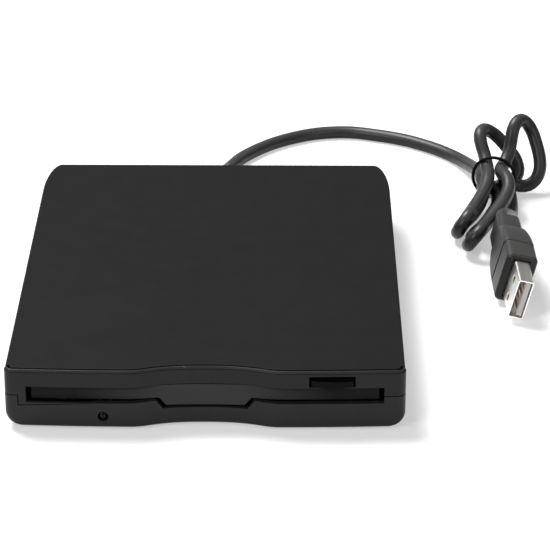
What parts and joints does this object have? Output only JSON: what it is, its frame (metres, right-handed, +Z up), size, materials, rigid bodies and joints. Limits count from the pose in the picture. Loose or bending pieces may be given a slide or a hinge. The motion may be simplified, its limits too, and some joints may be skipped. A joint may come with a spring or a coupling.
{
  "type": "external floppy disk drive",
  "caption": "Flat external floppy disk drive with dust flap, eject button and indicator, its cord tied in a hank that ends in a plug.",
  "frame": {"origin": "on the floor under the middle of the case's box", "axes": "+Z up, -Y towards the slot, +X to the right as the slot is faced"},
  "size_m": [0.1542, 0.2114, 0.0245],
  "materials": {
    "case_plastic": "finely textured black moulding",
    "bezel_plastic": "satin black moulding",
    "flap_plastic": "satin black moulding",
    "button_plastic": "smooth black moulding",
    "black_plastic": "moulded chip and switch bodies",
    "ivory_plastic": "moulded socket bodies",
    "grey_resin": "filled resin",
    "indicator_lens": "dark smoked lens",
    "rubber": "moulded",
    "galvanised_steel": "zinc plated sheet",
    "bright_steel": "bright plated",
    "spring_steel": "drawn wire",
    "sintered_bronze": "sintered",
    "copper_winding": "enamelled copper wire on steel teeth",
    "head_ceramic": "polished ceramic",
    "circuit_board": "green resist over glass and epoxy",
    "ribbon_film": "thin film",
    "wire_insulation": "insulated wires in one bundle",
    "cord_jacket": "satin black moulded jacket",
    "tie_wire": "coated wire",
    "plug_shell": "bright plated sheet",
    "plug_tongue": "white moulded insulator"
  },
  "bodies": {
    "drive": {"top_cover": "case_plastic", "base_case": "case_plastic", "front_bezel": "bezel_plastic", "flap_spring": "spring_steel", "chassis": "galvanised_steel", "slide_spring_left": "spring_steel", "slide_spring_right": "spring_steel", "lever_spring": "spring_steel", "spindle_bearing": "sintered_bronze", "motor_stator": "copper_winding", "guide_rod": "bright_steel", "screw_bush": "sintered_bronze", "stepper_motor": "bright_steel", "main_board": "circuit_board", "controller_chip": "black_plastic", "drive_socket": "ivory_plastic", "sensor_board": "circuit_board", "protect_switch": "black_plastic", "media_switch": "black_plastic", "bridge_board": "circuit_board", "bridge_chip": "black_plastic", "cord_header": "ivory_plastic", "ribbon_cable": "ribbon_film", "indicator_led": "ivory_plastic", "indicator_lens": "indicator_lens", "strain_relief": "cord_jacket", "cord_core": "wire_insulation", "cord_run": "cord_jacket", "cord_hank": "cord_jacket", "cord_tail": "cord_jacket", "cord_tie": "tie_wire", "plug_grip": "cord_jacket", "plug_shell": "plug_shell", "plug_tongue": "plug_tongue", "case_screw_1": "bright_steel", "foot_1": "rubber", "case_screw_2": "bright_steel", "foot_2": "rubber", "case_screw_3": "bright_steel", "foot_3": "rubber", "case_screw_4": "bright_steel", "foot_4": "rubber", "chassis_screw_1": "bright_steel", "chassis_screw_2": "bright_steel"},
    "flap": {"slot_flap": "flap_plastic"},
    "slide": {"eject_slide": "bright_steel", "eject_button": "button_plastic"},
    "holder": {"disk_holder": "galvanised_steel"},
    "lever": {"shutter_lever": "bright_steel"},
    "rotor": {"spindle_rotor": "bright_steel", "drive_pin": "sintered_bronze"},
    "carriage": {"head_carriage": "grey_resin", "arm_pin": "bright_steel", "lower_head": "head_ceramic", "screw_follower": "spring_steel"},
    "upper_arm": {"upper_head_arm": "grey_resin", "upper_head": "head_ceramic"},
    "screw": {"lead_screw": "bright_steel"},
    "protect_sensor": {"protect_plunger": "grey_resin"},
    "media_sensor": {"media_plunger": "grey_resin"}
  },
  "joints": [
    {"name": "flap_hinge", "type": "hinge", "parent": "drive", "child": "flap", "pos_m": [0, -0.0677, 0.0136], "axis": [1, 0, 0], "range_deg": [0, 90], "stiffness_Nm_per_rad": 0.0004, "springref_deg": -28.65},
    {"name": "eject", "type": "slide", "parent": "drive", "child": "slide", "axis": [0, 1, 0], "range_m": [-0.0045, 0]},
    {"name": "holder_lift", "type": "slide", "parent": "drive", "child": "holder", "axis": [0, 0, 1], "range_m": [-0.0018, 0]},
    {"name": "shutter_lever_swing", "type": "hinge", "parent": "drive", "child": "lever", "pos_m": [-0.034, 0.033, 0.0096], "axis": [0, 0, 1], "range_deg": [0, 38], "stiffness_Nm_per_rad": 0.004, "springref_deg": -17.19},
    {"name": "spindle", "type": "hinge", "parent": "drive", "child": "rotor", "pos_m": [0, -0.017, 0.0048], "axis": [0, 0, 1], "continuous": true},
    {"name": "head_seek", "type": "slide", "parent": "drive", "child": "carriage", "axis": [0, 1, 0], "range_m": [-0.0144, 0]},
    {"name": "upper_arm_hinge", "type": "hinge", "parent": "carriage", "child": "upper_arm", "pos_m": [0, 0.0487, 0.0136], "axis": [1, 0, 0], "range_deg": [0, 8]},
    {"name": "lead_screw_turn", "type": "hinge", "parent": "drive", "child": "screw", "pos_m": [0.016, 0.032, 0.0084], "axis": [0, 1, 0], "range_deg": [-1780, 0]},
    {"name": "protect_sensor_press", "type": "slide", "parent": "drive", "child": "protect_sensor", "axis": [0, 0, 1], "range_m": [-0.0012, 0], "stiffness_N_per_m": 80, "springref_m": 0.0004},
    {"name": "media_sensor_press", "type": "slide", "parent": "drive", "child": "media_sensor", "axis": [0, 0, 1], "range_m": [-0.0012, 0], "stiffness_N_per_m": 80, "springref_m": 0.0004}
  ],
  "couplings": [
    {"joint": "holder_lift", "follows": "eject", "ratio": 0.4},
    {"joint": "upper_arm_hinge", "follows": "eject", "rad_per_m": -31},
    {"joint": "lead_screw_turn", "follows": "head_seek", "rad_per_m": 2094.4}
  ]
}
